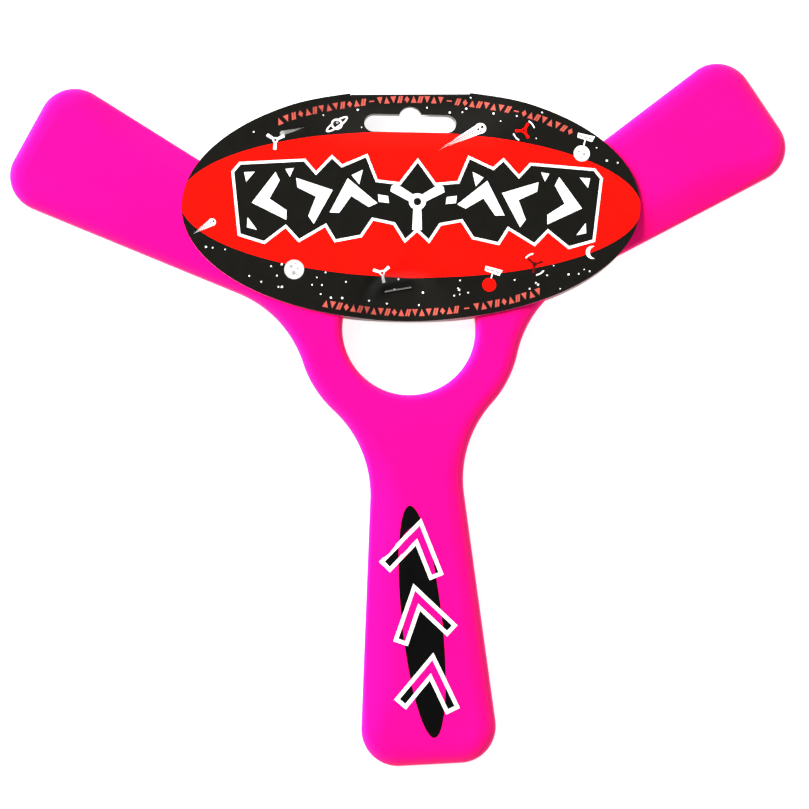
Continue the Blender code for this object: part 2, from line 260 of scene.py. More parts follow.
def ink(name, base, worn, gloss=0.26):
    """Litho ink under gloss laminate on board: slight mottle, a fibre texture that telegraphs through."""
    m = Nodes(name).set(IOR=1.5, Specular_IOR_Level=0.25, Coat_Weight=0.15, Coat_Roughness=0.12)
    mottle = m.mapped(m.noise(260.0, 5.0, 0.7), 0.3, 0.8)
    m.colour(m.mix(mottle, base, worn))
    m.roughness(m.mapped(m.noise(120.0, 3.0), 0.3, 0.7, gloss, gloss + 0.08))
    m.bump((m.noise(2600.0, 4.0, 0.7), 0.00002, 0.3), (m.noise(60.0, 3.0), 0.0002, 0.2))
    return m.material


def bare_board(name, base, fibre):
    m = Nodes(name).set(Specular_IOR_Level=0.25)
    stretched = m.add("ShaderNodeMapping")
    stretched.inputs["Scale"].default_value = (1.0, 6.0, 6.0)
    m.link(m.place(), stretched.inputs["Vector"])
    fibres = m.noise(900.0, 6.0, 0.75, stretched.outputs["Vector"])
    m.colour(m.mix(m.mapped(fibres, 0.35, 0.75), base, fibre))
    m.roughness(m.mapped(fibres, 0.3, 0.7, 0.7, 0.9))
    m.bump((fibres, 0.00006, 0.6))
    return m.material


def zinc_wire(name):
    m = Nodes(name).set(Metallic=1.0)
    drawn = m.add("ShaderNodeMapping")
    drawn.inputs["Scale"].default_value = (0.5, 12.0, 12.0)
    m.link(m.place(), drawn.inputs["Vector"])
    lines = m.noise(1800.0, 3.0, 0.6, drawn.outputs["Vector"])
    m.colour(m.mix(m.mapped(lines, 0.3, 0.7), (0.78, 0.78, 0.77), (0.55, 0.55, 0.56)))
    m.roughness(m.mapped(lines, 0.3, 0.7, 0.24, 0.4))
    m.bump((lines, 0.00002, 0.4))
    return m.material


PINK = moulded_pink("pink_plastic", (1.0, 0.0022, 0.190), (0.97, 0.0018, 0.175))
BLACK_INK = ink("card_black", (0.0050, 0.0048, 0.0038), (0.0070, 0.0066, 0.0054))
RED_INK = ink("card_red", (1.0, 0.0042, 0.0016), (0.93, 0.0034, 0.0012))
WHITE_INK = ink("card_white", (0.86, 0.86, 0.85), (0.80, 0.80, 0.79))
SALMON_INK = ink("card_salmon", (0.46, 0.080, 0.060), (0.38, 0.060, 0.045))
GREY_INK = ink("card_grey", (0.30, 0.30, 0.295), (0.22, 0.22, 0.215))
MAROON_INK = ink("card_maroon", (0.110, 0.0030, 0.0035), (0.085, 0.0026, 0.0030))
BOARD_EDGE = bare_board("card_core", (0.34, 0.33, 0.31), (0.22, 0.21, 0.20))
BOARD_INSIDE = bare_board("card_inside", (0.72, 0.71, 0.68), (0.58, 0.57, 0.54))
CARD_MATERIALS = (BLACK_INK, RED_INK, WHITE_INK, SALMON_INK, GREY_INK, MAROON_INK, BOARD_EDGE, BOARD_INSIDE)
BLACK, RED, WHITE, SALMON, GREY, MAROON, EDGE, INSIDE = range(len(CARD_MATERIALS))
ZINC = zinc_wire("staple_zinc")
FILM_BLACK = ink("decal_black", (0.0012, 0.0012, 0.0012), (0.0018, 0.0017, 0.0017), gloss=0.3)
FILM_WHITE = ink("decal_white", (0.86, 0.86, 0.85), (0.82, 0.82, 0.81), gloss=0.3)
FILM_MATERIALS = (FILM_BLACK, FILM_WHITE)
FILM_DARK, FILM_LIGHT = range(len(FILM_MATERIALS))


# --------------------------------------------------------------------------------------------------
# Meshes


def make_object(name, bm, materials, body, replaced):
    mesh = bpy.data.meshes.new(name)
    bm.to_mesh(mesh)
    bm.free()
    for material in materials:
        mesh.materials.append(material)
    obj = bpy.data.objects.new(name, mesh)
    bpy.context.scene.collection.objects.link(obj)
    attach(obj, body)
    if replaced:
        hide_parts(*replaced)
    return obj


def shade(obj, sharp=SHARP):
    obj.data.shade_smooth()
    obj.data.set_sharp_from_angle(angle=sharp)


def triangulated(loops, extra, layers, bounds, holes):
    """Flat triangles that follow every loop: points, triangles, each one's layer number and its middle.

    layers are (polygon, number) from the bottom up. A triangle takes the last that holds its middle. It is
    left out if it lies outside the bounds or in a hole.
    """
    merge_within = 1e-5
    points, edges = [], []
    for loop in loops:
        first = len(points)
        points += [Vector(p[:2]) for p in loop]
        edges += [(first + i, first + (i + 1) % len(loop)) for i in range(len(loop))]
    points += [Vector(p) for p in extra]
    made, _, faces, *_ = delaunay_2d_cdt(points, edges, [], 0, merge_within)
    at = np.array([tuple(p) for p in made])
    faces = np.array([list(f) for f in faces])
    middles = at[faces].mean(axis=1)
    x, y = middles[:, 0], middles[:, 1]
    keep = np.zeros(len(x), bool)
    for outline in bounds:
        keep |= inside(x, y, outline)
    for hole in holes:
        keep &= ~inside(x, y, hole)
    kind = np.zeros(len(x), int)
    for polygon, number in layers:
        corners = np.array([tuple(p[:2]) for p in polygon])
        low, high = corners.min(axis=0), corners.max(axis=0)
        near = (x >= low[0]) & (x <= high[0]) & (y >= low[1]) & (y <= high[1])
        chosen = np.flatnonzero(near)
        hit = inside(x[chosen], y[chosen], [tuple(p[:2]) for p in polygon])
        kind[chosen[hit]] = number
    return at, faces[keep], kind[keep], middles[keep]


def add_slab(bm, at, faces, kinds, outer, inner, inner_kind=None, rim_kind=None, joined=None):
    """A thin closed sheet over flat triangles, between the levels outer(x, y) and inner(x, y).

    The inner face and the rim take the outer face's material unless they have their own. The rim stays open
    along the edges for which joined(a, b) is true, where another sheet carries on.
    """
    used = sorted({int(i) for face in faces for i in face})
    over, under = {}, {}
    for i in used:
        x, y = at[i]
        over[i] = bm.verts.new(to_metres(x, y, outer(x, y)))
        under[i] = bm.verts.new(to_metres(x, y, inner(x, y)))
    sides = {}
    for face, kind in zip(faces.tolist(), kinds.tolist()):
        bm.faces.new([over[i] for i in face]).material_index = kind
        back = bm.faces.new([under[i] for i in reversed(face)])
        back.material_index = kind if inner_kind is None else inner_kind
        for a, b in zip(face, face[1:] + face[:1]):
            sides.setdefault((min(a, b), max(a, b)), []).append(kind)
    for (a, b), uses in sides.items():
        if len(uses) == 1 and not (joined and joined(at[a], at[b])):
            rim = bm.faces.new((over[a], under[a], under[b], over[b]))
            rim.material_index = uses[0] if rim_kind is None else rim_kind


# --------------------------------------------------------------------------------------------------
# The moulded body


def half_blade():
    """The +v side of one blade, with outward normals, in the blade's own frame: u along it, v to its left.

    It runs from halfway along the hub's edge to the middle of the tip.
    """
    hub_steps, neck_steps, side_steps, corner_steps, tip_steps = 10, 26, 26, 22, 4
    slant = math.hypot(1, TAPER)
    side_normal = Vector((-TAPER, 1)) / slant
    lift = HALF_WIDTH_AT_AXIS + NECK_FILLET * slant
    far = HUB_RADIUS + NECK_FILLET
    b = TAPER * lift
    u = (-b + math.sqrt(b * b - slant**2 * (lift**2 - far**2))) / slant**2
    fillet = Vector((u, lift + TAPER * u))
    hub_angle = math.atan2(fillet.y, fillet.x)
    u = REACH - TIP_CORNER
    corner = Vector((u, HALF_WIDTH_AT_AXIS + TAPER * u - TIP_CORNER * slant))
    side_angle = math.atan2(side_normal.y, side_normal.x)

    points = arc(Vector((0, 0)), HUB_RADIUS, math.pi / BLADES, hub_angle, hub_steps)
    hollow = arc(fillet, NECK_FILLET, math.pi + hub_angle, math.pi + side_angle, neck_steps)
    points += [(p, -out) for p, out in hollow[1:]]
    start, end = hollow[-1][0], corner + TIP_CORNER * side_normal
    points += [(start.lerp(end, i / side_steps), side_normal) for i in range(1, side_steps)]
    points += arc(corner, TIP_CORNER, side_angle, 0, corner_steps)
    for i in range(1, tip_steps + 1):
        points.append((Vector((REACH, corner.y * (1 - i / tip_steps))), Vector((1, 0))))
    return points


def section_at(u, leading):
    """The edge's section at a distance u along a blade: hub, then the blade's side, then its tip."""
    side = LEAD_SECTION if leading else TRAIL_SECTION
    to_side, to_tip = smooth((u - SIDE_FROM) / SIDE_OVER), smooth((u - TIP_FROM) / TIP_OVER)
    values = []
    for hub, middle, tip in zip(HUB_SECTION, side, TIP_SECTION):
        at_side = hub + (middle - hub) * to_side
        values.append(at_side + (tip - at_side) * to_tip)
    return values


def body_edge():
    """The whole outline anticlockwise: point, outward normal and section for each."""
    half = half_blade()
    blade = [(Vector((p.x, -p.y)), Vector((n.x, -n.y)), section_at(p.x, False)) for p, n in half]
    blade += [(p, n, section_at(p.x, True)) for p, n in reversed(half[1:-1])]
    edge = []
    for k in range(BLADES):
        turn = Matrix.Rotation(BODY_TURN - math.pi / 2 + math.tau * k / BLADES, 2)
        edge += [(turn @ p, turn @ n, section) for p, n, section in blade]
    return edge


def hole_edge(steps=144):
    return [(p, -p.normalized(), HOLE_SECTION) for p in ring((0, 0), HOLE_RADIUS, steps)]


def profile(section, roll_steps=3, round_steps=10, bevel_steps=8):
    """Inset and height of the edge from the flat underside to the flat top, bottom first."""
    width, height, bevel, fall = section
    slope = fall / bevel * math.pi / 2
    last = math.atan2(height, width * slope)
    wall = THICKNESS - height * math.sin(last) - fall
    points = []
    for i in range(roll_steps + 1):
        a = math.pi / 2 * i / roll_steps
        points.append((UNDER_ROLL * (1 - math.sin(a)), UNDER_ROLL * (1 - math.cos(a))))
    for i in range(round_steps + 1):
        a = last * i / round_steps
        points.append((width * (1 - math.cos(a)), wall + height * math.sin(a)))
    inner, top = points[-1]
    for i in range(1, bevel_steps + 1):
        share = i / bevel_steps
        points.append((inner + bevel * share, top + fall * math.sin(share * math.pi / 2)))
    return points


def make_body():
    """Rings of the edge's section round the outline and the hole, closed by a flat top and underside."""
    bm = bmesh.new()
    ends = []
    for edge in (body_edge(), hole_edge()):
        profiles = [profile(section) for _, _, section in edge]
        rings = []
        for level in range(len(profiles[0])):
            row = []
            for (point, normal, _), steps in zip(edge, profiles):
                inset, height = steps[level]
                at = point - normal * inset
                row.append(bm.verts.new(to_metres(at.x, at.y, BODY_BASE + height)))
            rings.append(row)
        for low, high in zip(rings, rings[1:]):
            for i in range(len(low)):
                j = (i + 1) % len(low)
                bm.faces.new((low[i], low[j], high[j], high[i]))
        ends.append((rings[0], rings[-1]))
    for level in (0, 1):
        edges = []
        for end in ends:
            loop = end[level]
            edges += [bm.edges.get((a, b)) for a, b in zip(loop, loop[1:] + loop[:1])]
        bmesh.ops.triangle_fill(bm, edges=edges, use_beauty=True)
    bmesh.ops.recalc_face_normals(bm, faces=bm.faces)
    body = make_object("moulded_boomerang", bm, [PINK], "boomerang", ["boomerang_body"])
    shade(body)
    return body


# --------------------------------------------------------------------------------------------------
# The card's shape


def staple_ends():
    along = Vector((math.cos(STAPLE_TURN), math.sin(STAPLE_TURN)))
    return [STAPLE_CENTRE + along * side * STAPLE_SPAN / 2 for side in (-1, 1)]


FOLD_RADIUS = GAP / 2 + BOARD
FOLD_Y = CREASE_Y - FOLD_RADIUS  # the line where a leaf turns into the fold


def pinched(p):
    """How far a leaf has left its flat level: it draws in towards the fold and towards the staple."""
    a = Vector((CARD_X - CREASE_HALF, FOLD_Y))
    b = Vector((CARD_X + CREASE_HALF, FOLD_Y))
    fold = 1 - smooth(to_segment(p, a, b) / CREASE_REACH)
    room = max(0.0, DIMPLE_RADIUS - p.length)
    away = max(0.0, to_segment(p, *staple_ends()) - DIMPLE_FLAT)
    dimple = smooth(room / (room + away)) if room > 0 else 0.0
    return PINCH * (fold + dimple)


def leaf_outline():
    """One oval leaf, anticlockwise, with a short ear left standing at each end of the fold."""
    steps = 220
    slit = 0.05  # the cut between an ear and the fold
    top = math.asin((EAR_Y - CARD_Y) / CARD_RISE)
    points = []
    for i in range(steps + 1):
        a = math.pi - top + (math.pi + 2 * top) * i / steps
        rise = CARD_RISE if math.sin(a) > 0 else CARD_DROP
        points.append(Vector((CARD_X + CARD_HALF_WIDTH * math.cos(a), CARD_Y + rise * math.sin(a))))
    left, right = CARD_X - CREASE_HALF - slit, CARD_X + CREASE_HALF + slit
    points += [Vector((right, EAR_Y)), Vector((right, FOLD_Y))]
    points += fold_points()
    return points + [Vector((left, FOLD_Y)), Vector((left, EAR_Y))]


def fold_points():
    """Points on the fold line, from right to left."""
    steps = 24
    return [Vector((CARD_X + CREASE_HALF * (1 - 2 * i / steps), FOLD_Y)) for i in range(steps + 1)]


def slot_outline():
    end = SLOT_HEIGHT / 2
    centre = Vector((SLOT_X, SLOT_Y))
    reach = Vector((SLOT_WIDTH / 2 - end, 0))
    hump = centre + Vector((0, end + HUMP_RISE - HUMP_RADIUS))
    dip = math.asin((HUMP_RADIUS - HUMP_RISE) / HUMP_RADIUS)
    steps = 18
    points = arc(centre + reach, end, -math.pi / 2, math.pi / 2, steps)
    points += arc(hump, HUMP_RADIUS, dip, math.pi - dip, steps)
    points += arc(centre - reach, end, math.pi / 2, 3 * math.pi / 2, steps)
    return turned([p for p, _ in points], PRESS_TURN)


def pin_holes():
    return [ring(end, WIRE_WIDTH / 2 + PIN_PLAY, 10) for end in staple_ends()]


# --------------------------------------------------------------------------------------------------
# The card's print. Every motif is a list of (polygon, ink), the later on top of the earlier, in the frame of
# the print, which is turned by PRESS_TURN out of the card's.

RED_OVAL = (0.2, 43.7, 81.0, 26.0)  # centre, half width, half height
TOP_ROW = (3.0, 34.68, 82.0, 47.3)  # the line each row of small marks follows, in the same terms
BOTTOM_ROW = (-2.0, 48.4, 82.0, 42.9)
TOP_GROUPS = [(-47.6, -15.8), (-12.4, 11.5), (15.2, 35.4), (38.6, 57.3)]
BOTTOM_GROUPS = [(-30.4, 17.6), (22.3, 46.2)]
KEYLINE = 0.95  # white line round the banner
BANNER_X = 2.35
BANNER_STRETCH = 0.975
STARS = 64


def oval(centre_x, centre_y, half_width, half_height, steps=120):
    points = []
    for i in range(steps):
        a = math.tau * i / steps
        points.append(Vector((centre_x + half_width * math.cos(a), centre_y + half_height * math.sin(a))))
    return points


def mirrored(polygon):
    return [Vector((-p[0], p[1])) for p in reversed(polygon)]


def inset(polygon, distance):
    """An anticlockwise polygon moved inwards by a distance, with its corners kept sharp."""
    result = []
    count = len(polygon)
    for i in range(count):
        before, here, after = (Vector(polygon[(i + k) % count]) for k in (-1, 0, 1))
        first, second = (here - before).normalized(), (after - here).normalized()
        first_in, second_in = Vector((-first.y, first.x)), Vector((-second.y, second.x))
        bisector = first_in + second_in
        result.append(here + bisector * (2 * distance / bisector.length_squared))
    return result


def banner_outline():
    """The jagged banner, the same on both sides of the card's middle line."""
    upper = [(6.6, 51.4), (14.4, 52.2), (18.2, 61.4), (27.2, 57.4), (31.0, 60.8), (36.6, 54.8), (40.6, 59.2)]
    side = [(64.2, 57.6), (67.0, 54.2), (64.2, 31.4)]
    lower = [(54.6, 28.6), (47.2, 34.4), (42.4, 29.4), (33.0, 35.0), (29.6, 29.6)]
    lower += [(19.8, 31.6), (15.8, 37.6), (8.6, 36.2), (4.4, 29.8)]
    right = upper + side + lower
    loop = [(0.0, 60.2)] + [(-x, y) for x, y in right] + [(0.0, 33.8)] + list(reversed(right))
    return [Vector((BANNER_X + x * BANNER_STRETCH, y)) for x, y in loop]


def tri_blade(centre, size, turn, colour, hole=None):
    """A small three-blade boomerang of bars with a round hub."""
    bar = [(0, -0.13), (1, -0.17), (1.06, 0), (1, 0.17), (0, 0.13)]
    arm = [(x * size, y * size) for x, y in bar]
    shapes = []
    for k in range(BLADES):
        shapes.append((turned(arm, turn + math.tau * k / BLADES, centre), colour))
    shapes.append((ring(centre, size * 0.30, 16), colour))
    if hole is not None:
        shapes.append((ring(centre, size * 0.14, 12), hole))
    return shapes


def tumbling(centre, angle, arm=11.4, root=4.3, end=3.0, slant=1.6, spread=84):
    """A two-arm boomerang with slanted tips, its elbow pointing along the angle."""
    half = math.radians(spread) / 2
    along = Vector((-math.cos(half), math.sin(half)))
    across = Vector((math.sin(half), math.cos(half)))
    tip = along * arm
    outer, inner = tip + across * end / 2, tip - across * end / 2 - along * slant
    elbow, crook = root / 2 / math.sin(half), -root / 2 / math.sin(half)
    upper = [Vector((elbow, 0)), outer, inner, Vector((crook, 0))]
    lower = [Vector((p.x, -p.y)) for p in (inner, outer)]
    shift = Vector((arm * math.cos(half) / 2, 0))
    return [Vector(p) for p in turned([p + shift for p in upper + lower], angle, centre)]


def banner():
    """Three two-arm boomerangs tumble away on each side of a three-blade one."""
    edge = banner_outline()
    shapes = [(edge, WHITE), (inset(edge, KEYLINE), BLACK)]
    flight = [((23.6, 45.2), 78), ((37.4, 45.4), 158), ((52.2, 45.0), -14)]  # centre and angle of each
    shards = [
        [(19.8, 55.6), (23.8, 53.6), (21.0, 50.4)],
        [(44.6, 55.8), (47.6, 55.4), (46.0, 52.6)],
        [(58.6, 54.2), (62.4, 54.0), (61.6, 50.6)],
        [(57.4, 33.6), (61.0, 34.4), (60.8, 38.0)],
        [(10.6, 46.4), (10.2, 43.9), (13.9, 44.3), (14.2, 46.9)],
    ]
    for side in (1, -1):
        loops = [tumbling(at, math.radians(angle)) for at, angle in flight]
        loops += [[Vector(p) for p in shard] for shard in shards]
        for loop in loops:
            placed = loop if side > 0 else mirrored(loop)
            shapes.append(([Vector((BANNER_X + p.x * BANNER_STRETCH, p.y)) for p in placed], WHITE))
    shapes += tri_blade((BANNER_X, 44.6), 10.0, math.radians(-90), WHITE, BLACK)
    return shapes


def along_oval(row, x, upper):
    """Point on a row's line at x, and its outward unit normal."""
    cx, cy, a, b = row
    s = (x - cx) / a
    c = math.sqrt(1 - s * s) * (1 if upper else -1)
    return Vector((x, cy + b * c)), Vector((s / a, c / b)).normalized()


def small_marks(row, upper, groups, height=2.5, pitch=2.45):
    """Groups of peaks, wedges, slashes and diamonds by turns along a row, with a dash between the groups."""
    width = 0.9  # of a mark, as a share of the pitch
    stroke = 0.30
    peak = [(-0.46, -0.5), (0.46, -0.5), (0, 0.5)]
    diamond = [(-0.40, 0), (0, -0.5), (0.40, 0), (0, 0.5)]
    slash = [(-0.5, -0.5), (-0.5 + stroke, -0.5), (0.12, 0.5), (0.12 - stroke, 0.5)]
    second = [(x + 0.38, y) for x, y in slash]
    wedge = [(0, -0.5), (0.46, 0.5), (-0.46, 0.5)]
    cycle = [[peak], [wedge], [slash, second], [diamond], [peak], [slash, second], [wedge]]
    dash = [(-0.40, -0.09), (0.40, -0.09), (0.40, 0.09), (-0.40, 0.09)]
    shapes = []
    count = 0

    def stamp(x, loops):
        at, out = along_oval(row, x, upper)
        up = out if upper else -out
        across = Vector((up.y, -up.x))
        for loop in loops:
            shapes.append(([at + across * u * pitch * width + up * v * height for u, v in loop], SALMON))

    for number, (start, end) in enumerate(groups):
        marks = max(1, round((end - start) / pitch))
        for i in range(marks):
            stamp(start + (i + 0.5) * (end - start) / marks, cycle[count % len(cycle)])
            count += 1
        if number + 1 < len(groups):
            stamp((end + groups[number + 1][0]) / 2, [dash])
    return shapes


def ringed_planet(centre, size, turn):
    """A planet in outline with a ring round it and a band across it."""

    def placed(points):
        return turned([Vector(p) * size for p in points], turn, centre)

    shapes = [(placed(oval(0, 0, 1.0, 0.30, 40)), WHITE), (placed(oval(0, 0, 0.84, 0.17, 40)), BLACK)]
    shapes += [(ring(centre, 0.44 * size, 28), WHITE), (ring(centre, 0.30 * size, 24), BLACK)]
    shapes.append((placed([(-0.44, -0.24), (0.44, -0.24), (0.44, -0.13), (-0.44, -0.13)]), WHITE))
    shapes.append((placed(oval(0.10, 0.08, 0.10, 0.10, 12)), GREY))
    return shapes


def comet(head, tail, width, colour, cratered=True):
    """A round head with a tail of narrow streaks that end at different lengths."""
    streaks = ((0.0, 1.0), (0.30, 0.78), (-0.30, 0.88), (0.60, 0.55), (-0.60, 0.66))  # place across, reach
    craters = ((0.18, 0.14, 0.16), (-0.22, -0.10, 0.13), (0.04, -0.30, 0.09), (-0.16, 0.28, 0.08))
    head, tail = Vector(head), Vector(tail)
    along = (tail - head).normalized()
    across = Vector((-along.y, along.x))
    length = (tail - head).length
    shapes = []
    for side, reach in streaks:
        base = head + across * side * width * 0.75
        tip = head + along * length * reach + across * side * width * 0.35
        shapes.append(([base + across * width * 0.07, tip, base - across * width * 0.07], colour))
    shapes.append((ring(head, width * 0.56, 20), colour))
    if cratered:
        for dx, dy, r in craters:
            shapes.append((ring(head + Vector((dx, dy)) * width, r * width, 10), BLACK))
    return shapes


def signpost_planet(centre, radius, colour, lean):
    """A planet with a signboard standing on it. Plain blocks stand where a sign would have words."""
    centre = Vector(centre)
    up = Vector((math.sin(lean), math.cos(lean)))
    across = Vector((up.y, -up.x))
    foot, top = centre + up * radius * 0.8, centre + up * radius * 1.9
    side = across * 0.22
    pole = [foot - side, foot + side, top + side, top - side]
    board = [top + across * x + up * y for x, y in ((-2.9, -0.2), (2.5, -0.5), (3.1, 1.7), (-3.1, 1.5))]
    lines = []
    for x in (-1.9, -0.2, 1.5):
        corners = [(x + dx, 0.6 + dy) for dx, dy in ((-0.6, -0.3), (0.6, -0.3), (0.6, 0.3), (-0.6, 0.3))]
        lines.append(([top + across * u + up * v for u, v in corners], GREY))
    shapes = [(pole, WHITE), (board, WHITE), *lines, (ring(centre, radius, 32), colour)]
    if colour == WHITE:
        for dx, dy, r in ((-0.35, 0.25, 0.16), (0.3, -0.1, 0.2), (-0.1, -0.5, 0.12)):
            shapes.append((ring(centre + Vector((dx, dy)) * radius, r * radius, 12), GREY))
    return shapes


def spinning_blade(centre, size, turn, colour, sweep):
    """A three-blade boomerang between two arcs of movement, the first of them at the angle sweep."""
    shapes = tri_blade(centre, size, turn, colour, BLACK)
    outer_reach, outer_half, inner_reach, inner_half = size * 1.35, 0.45, size * 1.18, 0.38
    for middle in (sweep, sweep + math.pi):
        outer = arc(Vector(centre), outer_reach, middle - outer_half, middle + outer_half, 10)
        inner = arc(Vector(centre), inner_reach, middle + inner_half, middle - inner_half, 10)
        shapes.append(([p for p, _ in outer + inner], WHITE))
    return shapes


def crescent(centre, radius):
    """The part of a disc that a second disc, a little smaller and to the right, leaves free."""
    shifted = Vector(centre) + Vector((radius * 0.55, 0))
    outer = arc(Vector(centre), radius, math.radians(70), math.radians(290), 20)
    inner = arc(shifted, radius * 0.96, math.radians(258), math.radians(102), 16)
    return [([p for p, _ in outer + inner], WHITE)]


def moon(centre, radius):
    shapes = [(ring(centre, radius, 40), GREY), (ring(centre, radius * 0.92, 40), WHITE)]
    craters = ((-0.3, 0.3, 0.2), (0.35, 0.1, 0.14), (-0.05, -0.35, 0.24), (0.3, -0.5, 0.1), (0.1, 0.6, 0.1))
    for dx, dy, r in craters:
        shapes.append((ring(Vector(centre) + Vector((dx, dy)) * radius, r * radius, 16), GREY))
    return shapes


def motifs():
    shapes = []
    shapes += comet((-45.4, 68.2), (-36.9, 70.7), 1.5, GREY, cratered=False)
    shapes += tri_blade((-47.8, 65.7), 3.4, math.radians(-92), WHITE, BLACK)
    shapes += ringed_planet((-26.3, 72.1), 4.7, math.radians(38))
    shapes += comet((24.4, 71.5), (9.5, 63.1), 3.6, WHITE)
    shapes += spinning_blade((39.7, 70.7), 3.0, math.radians(62), RED, math.radians(40))
    shapes += signpost_planet((60.2, 62.9), 2.85, WHITE, math.radians(14))
    shapes += comet((-69.3, 36.0), (-76.1, 31.4), 2.4, WHITE)
    shapes += moon((-40.4, 19.8), 3.5)
    shapes += tri_blade((-9.7, 19.1), 3.2, math.radians(-78), WHITE, RED)
    shapes += signpost_planet((27.8, 15.5), 2.4, RED, math.radians(16))
    shapes += spinning_blade((43.7, 23.0), 3.0, math.radians(20), MAROON, math.radians(122))
    shapes += crescent((64.0, 27.6), 2.3)
    return shapes


def stars(taken, outline, slot, red_oval):
    """Small dots strewn over the black rim, clear of the other motifs."""
    draw = random.Random(11)
    left, right, low, high = -79, 81, 4, 83
    margin, edge_margin, slot_margin = 0.7, 1.2, 1.0
    boxes = []
    for polygon, _ in taken:
        xs, ys = [p[0] for p in polygon], [p[1] for p in polygon]
        boxes.append((min(xs) - margin, min(ys) - margin, max(xs) + margin, max(ys) + margin))
    rim = list(zip(outline[::4], outline[4::4]))
    slot_sides = list(zip(slot, slot[1:] + slot[:1]))
    shapes = []
    while len(shapes) < STARS:
        at = Vector((draw.uniform(left, right), draw.uniform(low, high)))
        spot = ring(at, draw.choice((0.24, 0.30, 0.30, 0.40)), 8)
        x, y = np.array([p.x for p in spot]), np.array([p.y for p in spot])
        on_rim = inside(x, y, outline).all() and not inside(x, y, red_oval).any()
        clear = not any(x0 < at.x < x1 and y0 < at.y < y1 for x0, y0, x1, y1 in boxes)
        from_edge = min(to_segment(at, a, b) for a, b in rim)
        from_slot = min(to_segment(at, a, b) for a, b in slot_sides)
        if on_rim and clear and from_edge > edge_margin and from_slot > slot_margin:
            shapes.append((spot, WHITE))
    return shapes


def pressed(motif_shapes):
    """The whole print in the card's frame: the red oval, the stars, the rows of marks and the motifs."""
    shapes = [(oval(*RED_OVAL), RED)] + mark_rows() + motif_shapes
    red_oval, *rest = [(turned(polygon, PRESS_TURN), kind) for polygon, kind in shapes]
    dots = stars(rest, leaf_outline(), slot_outline(), red_oval[0])
    return [red_oval] + dots + rest


def mark_rows():
    return small_marks(TOP_ROW, True, TOP_GROUPS) + small_marks(BOTTOM_ROW, False, BOTTOM_GROUPS)


def front_print():
    return pressed(banner() + motifs())


def back_print():
    """The back of the card: a white panel with grey bars for text and the flight in three plain diagrams."""
    corners = ((-58, 33), (-52, 27), (56, 27), (61, 33), (61, 56), (54, 61), (-51, 61), (-58, 56))
    panel = [Vector(p) for p in corners]
    shapes = [(panel, BLACK), (inset(panel, 0.9), WHITE)]
    bar_lengths, bar_left, top_bar_y, bar_pitch, half = (30, 28, 31, 26, 30, 18), -53, 54.5, 4.3, 0.55
    for number, length in enumerate(bar_lengths):
        y = top_bar_y - number * bar_pitch
        bar = [(0, -half), (length, -half), (length, half), (0, half)]
        shapes.append((turned(bar, 0, (bar_left, y)), GREY))
    start, end, outer, inner = math.radians(-60), math.radians(230), 9.6, 8.8  # the path round each diagram
    for number, centre_x in enumerate((-6.0, 20.0, 45.0)):
        centre = Vector((centre_x, 44.0))
        path = arc(centre, outer, start, end, 40) + arc(centre, inner, end, start, 40)
        shapes.append(([p for p, _ in path], RED))
        nose, _ = arc(centre, (outer + inner) / 2, start - math.radians(4), end, 1)[0]
        arrow = turned([(2.6, 0), (-1.0, 1.7), (-1.0, -1.7)], math.radians(206), nose)
        shapes.append((arrow, RED))
        shapes += tri_blade(centre, 5.4, math.radians(30 + 40 * number), BLACK, WHITE)
    return pressed(shapes)


# --------------------------------------------------------------------------------------------------
# The card's mesh


def leaf_grid(step=2.0, grid_top=90, least_bend=1e-5):
    """Points where the leaf bends, so that it curves smoothly between the lines of its print."""
    points = []
    first_row = 0.37  # in steps, which keeps every row off the fold line
    columns, rows = int(2 * CARD_HALF_WIDTH / step), int(grid_top / step)
    for i in range(columns + 1):
        for j in range(rows):
            x = CARD_X - CARD_HALF_WIDTH + i * step + (j % 2) * step / 2
            p = Vector((x, (j + first_row) * step))
            if pinched(p) > least_bend:
                points.append(p)
    a, b = staple_ends()
    across = Vector((a.y - b.y, b.x - a.x)).normalized()
    along_steps = 7
    for side in (-2.4, -1.2, 0.0, 1.2, 2.4):  # rows beside the crown, on the dimple's flat and past it
        points += [a.lerp(b, i / along_steps) + across * side for i in range(along_steps + 1)]
    return points


def add_leaf(bm, shapes, front):
    """One leaf with its printed outer face, its bare inner face and its cut rim."""
    outline, holes = leaf_outline(), [slot_outline(), *pin_holes()]
    loops = [outline, *holes, *[polygon for polygon, _ in shapes]]
    at, faces, kinds, _ = triangulated(loops, leaf_grid(), shapes, [outline], holes)
    base, side = (FRONT_BASE + BOARD, -1) if front else (0.0, 1)

    def outer(x, y):
        return base + side * pinched(Vector((x, y)))

    def inner(x, y):
        return outer(x, y) + side * BOARD

    def on_fold(a, b):
        level = abs(a[1] - FOLD_Y) < 1e-4 and abs(b[1] - FOLD_Y) < 1e-4
        return level and max(abs(a[0] - CARD_X), abs(b[0] - CARD_X)) < CREASE_HALF + 1e-3

    add_slab(bm, at, faces, kinds, outer, inner, INSIDE, EDGE, on_fold)


